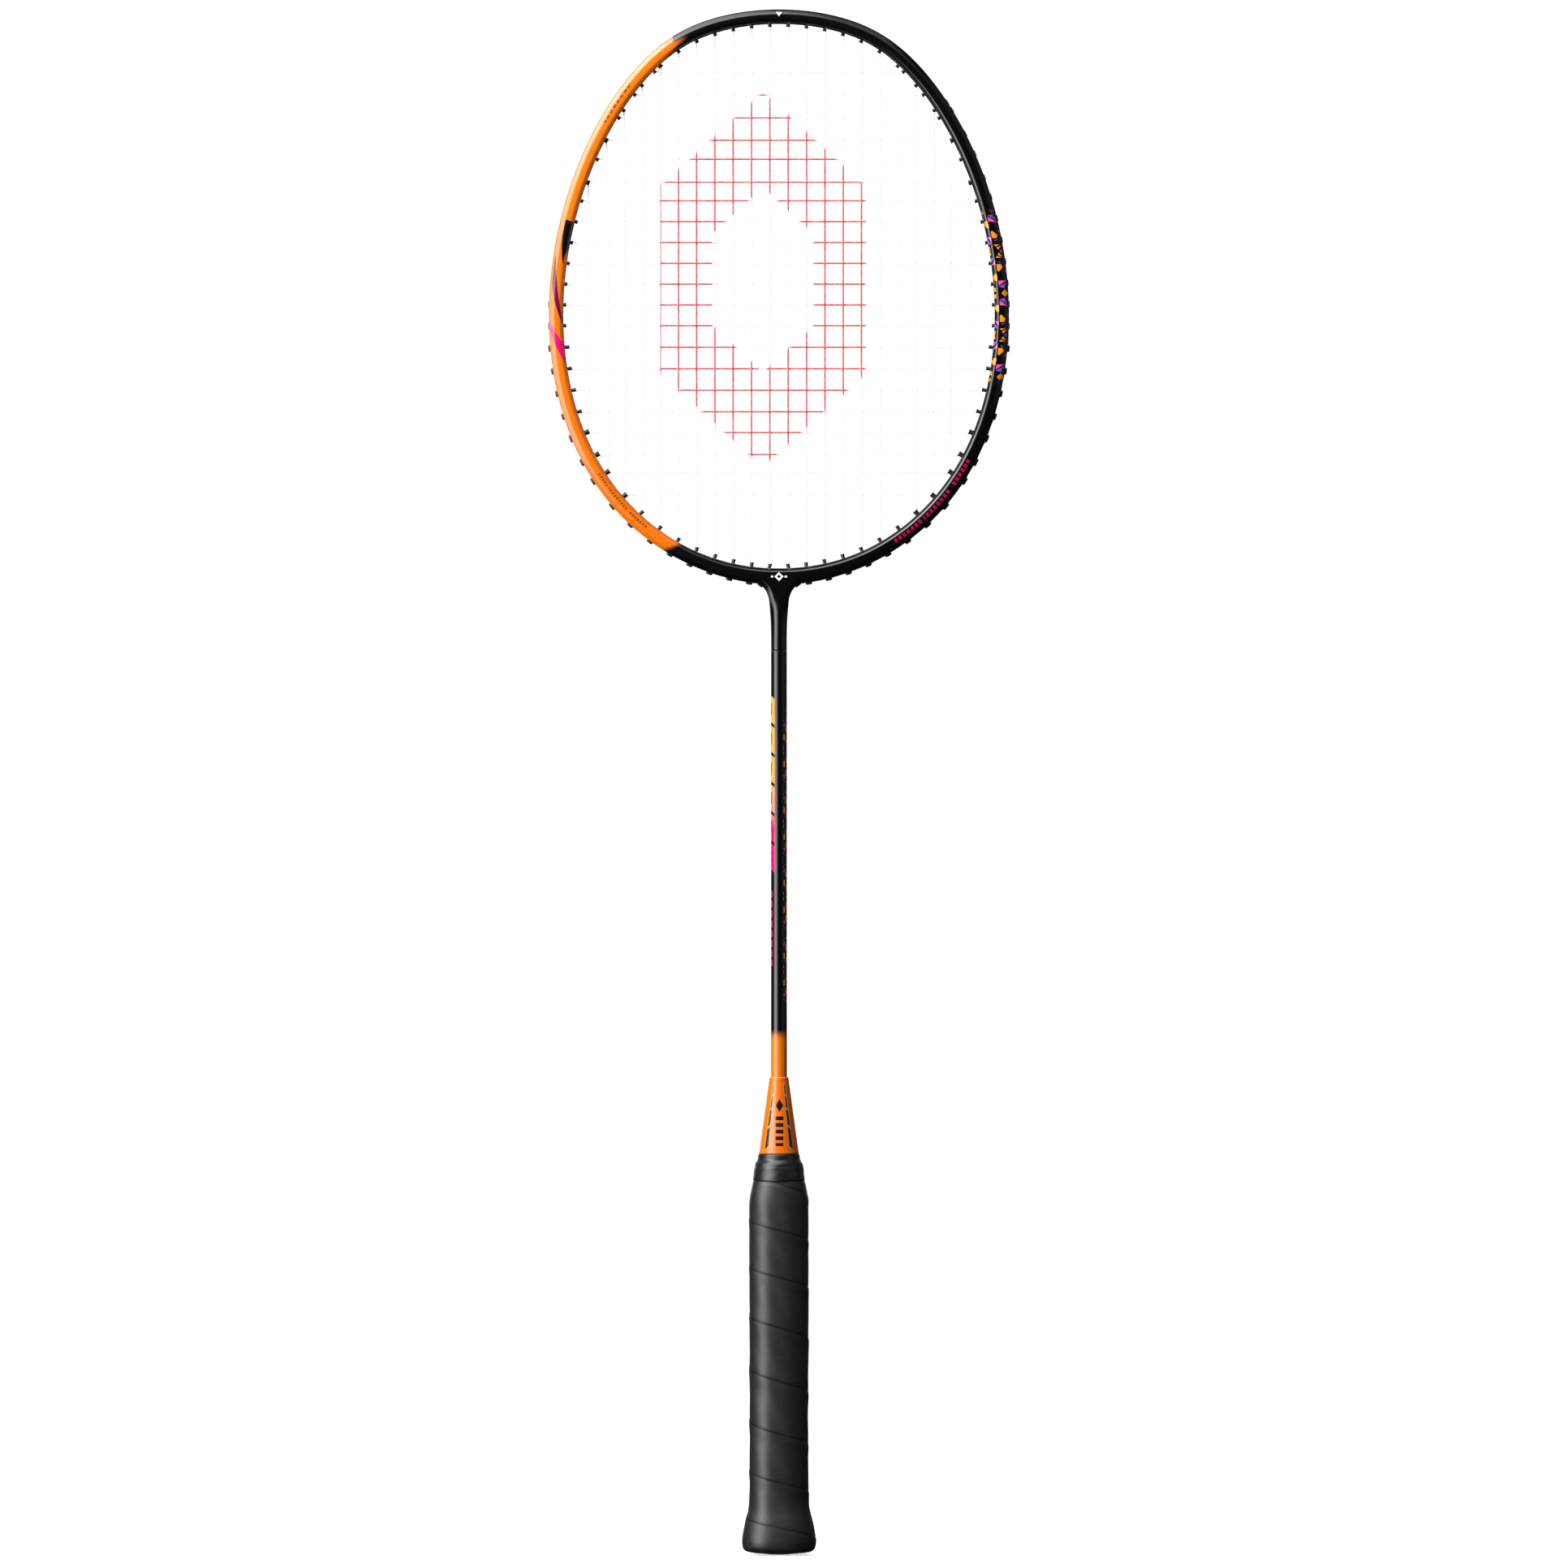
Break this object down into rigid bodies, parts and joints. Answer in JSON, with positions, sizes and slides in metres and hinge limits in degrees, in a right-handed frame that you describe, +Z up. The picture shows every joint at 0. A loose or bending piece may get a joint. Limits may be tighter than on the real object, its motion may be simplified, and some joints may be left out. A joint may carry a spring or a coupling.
{
  "type": "badminton racket",
  "caption": "Strung badminton racket with an egg-shaped hollow head, a slim round shaft, a tapered cone cap and a spiral-wrapped octagonal grip with a flared butt.",
  "frame": {"origin": "centre of the butt's flat end face", "axes": "+Z up the shaft from the butt to the top of the head, +X across the face of the head to the right seen from the front, +Y from the front of the racket to its back"},
  "size_m": [0.2028, 0.0298, 0.675],
  "materials": {
    "lacquer": "gloss lacquer over carbon composite, black with orange, magenta and purple decoration",
    "composite": "bare moulded carbon composite, hidden inside",
    "cap_paint": "gloss orange",
    "wood": "bare light hardwood, hidden under the grip",
    "badge": "satin black",
    "grip": "matte black polyurethane tape",
    "tape": "semi-gloss black",
    "nylon": "satin black nylon",
    "string": "natural white nylon"
  },
  "bodies": {
    "root": {"frame": "lacquer", "shaft": "lacquer", "t_joint": "composite", "cone_cap": "cap_paint", "handle_core": "wood", "end_badge": "badge", "grip_wrap": "grip", "finishing_tape": "tape", "main_string": "string", "cross_string": "string", "top_strip": "nylon", "strip_left": "nylon", "strip_right": "nylon", "grommet_left_01": "nylon", "grommet_left_02": "nylon", "grommet_left_03": "nylon", "grommet_left_04": "nylon", "grommet_left_05": "nylon", "grommet_left_06": "nylon", "grommet_left_07": "nylon", "grommet_left_08": "nylon", "grommet_left_09": "nylon", "grommet_left_10": "nylon", "grommet_left_11": "nylon", "grommet_left_12": "nylon", "grommet_left_13": "nylon", "grommet_left_14": "nylon", "grommet_left_15": "nylon", "grommet_left_16": "nylon", "grommet_right_01": "nylon", "grommet_right_02": "nylon", "grommet_right_03": "nylon", "grommet_right_04": "nylon", "grommet_right_05": "nylon", "grommet_right_06": "nylon", "grommet_right_07": "nylon", "grommet_right_08": "nylon", "grommet_right_09": "nylon", "grommet_right_10": "nylon", "grommet_right_11": "nylon", "grommet_right_12": "nylon", "grommet_right_13": "nylon", "grommet_right_14": "nylon", "grommet_right_15": "nylon", "grommet_right_16": "nylon"}
  },
  "joints": []
}
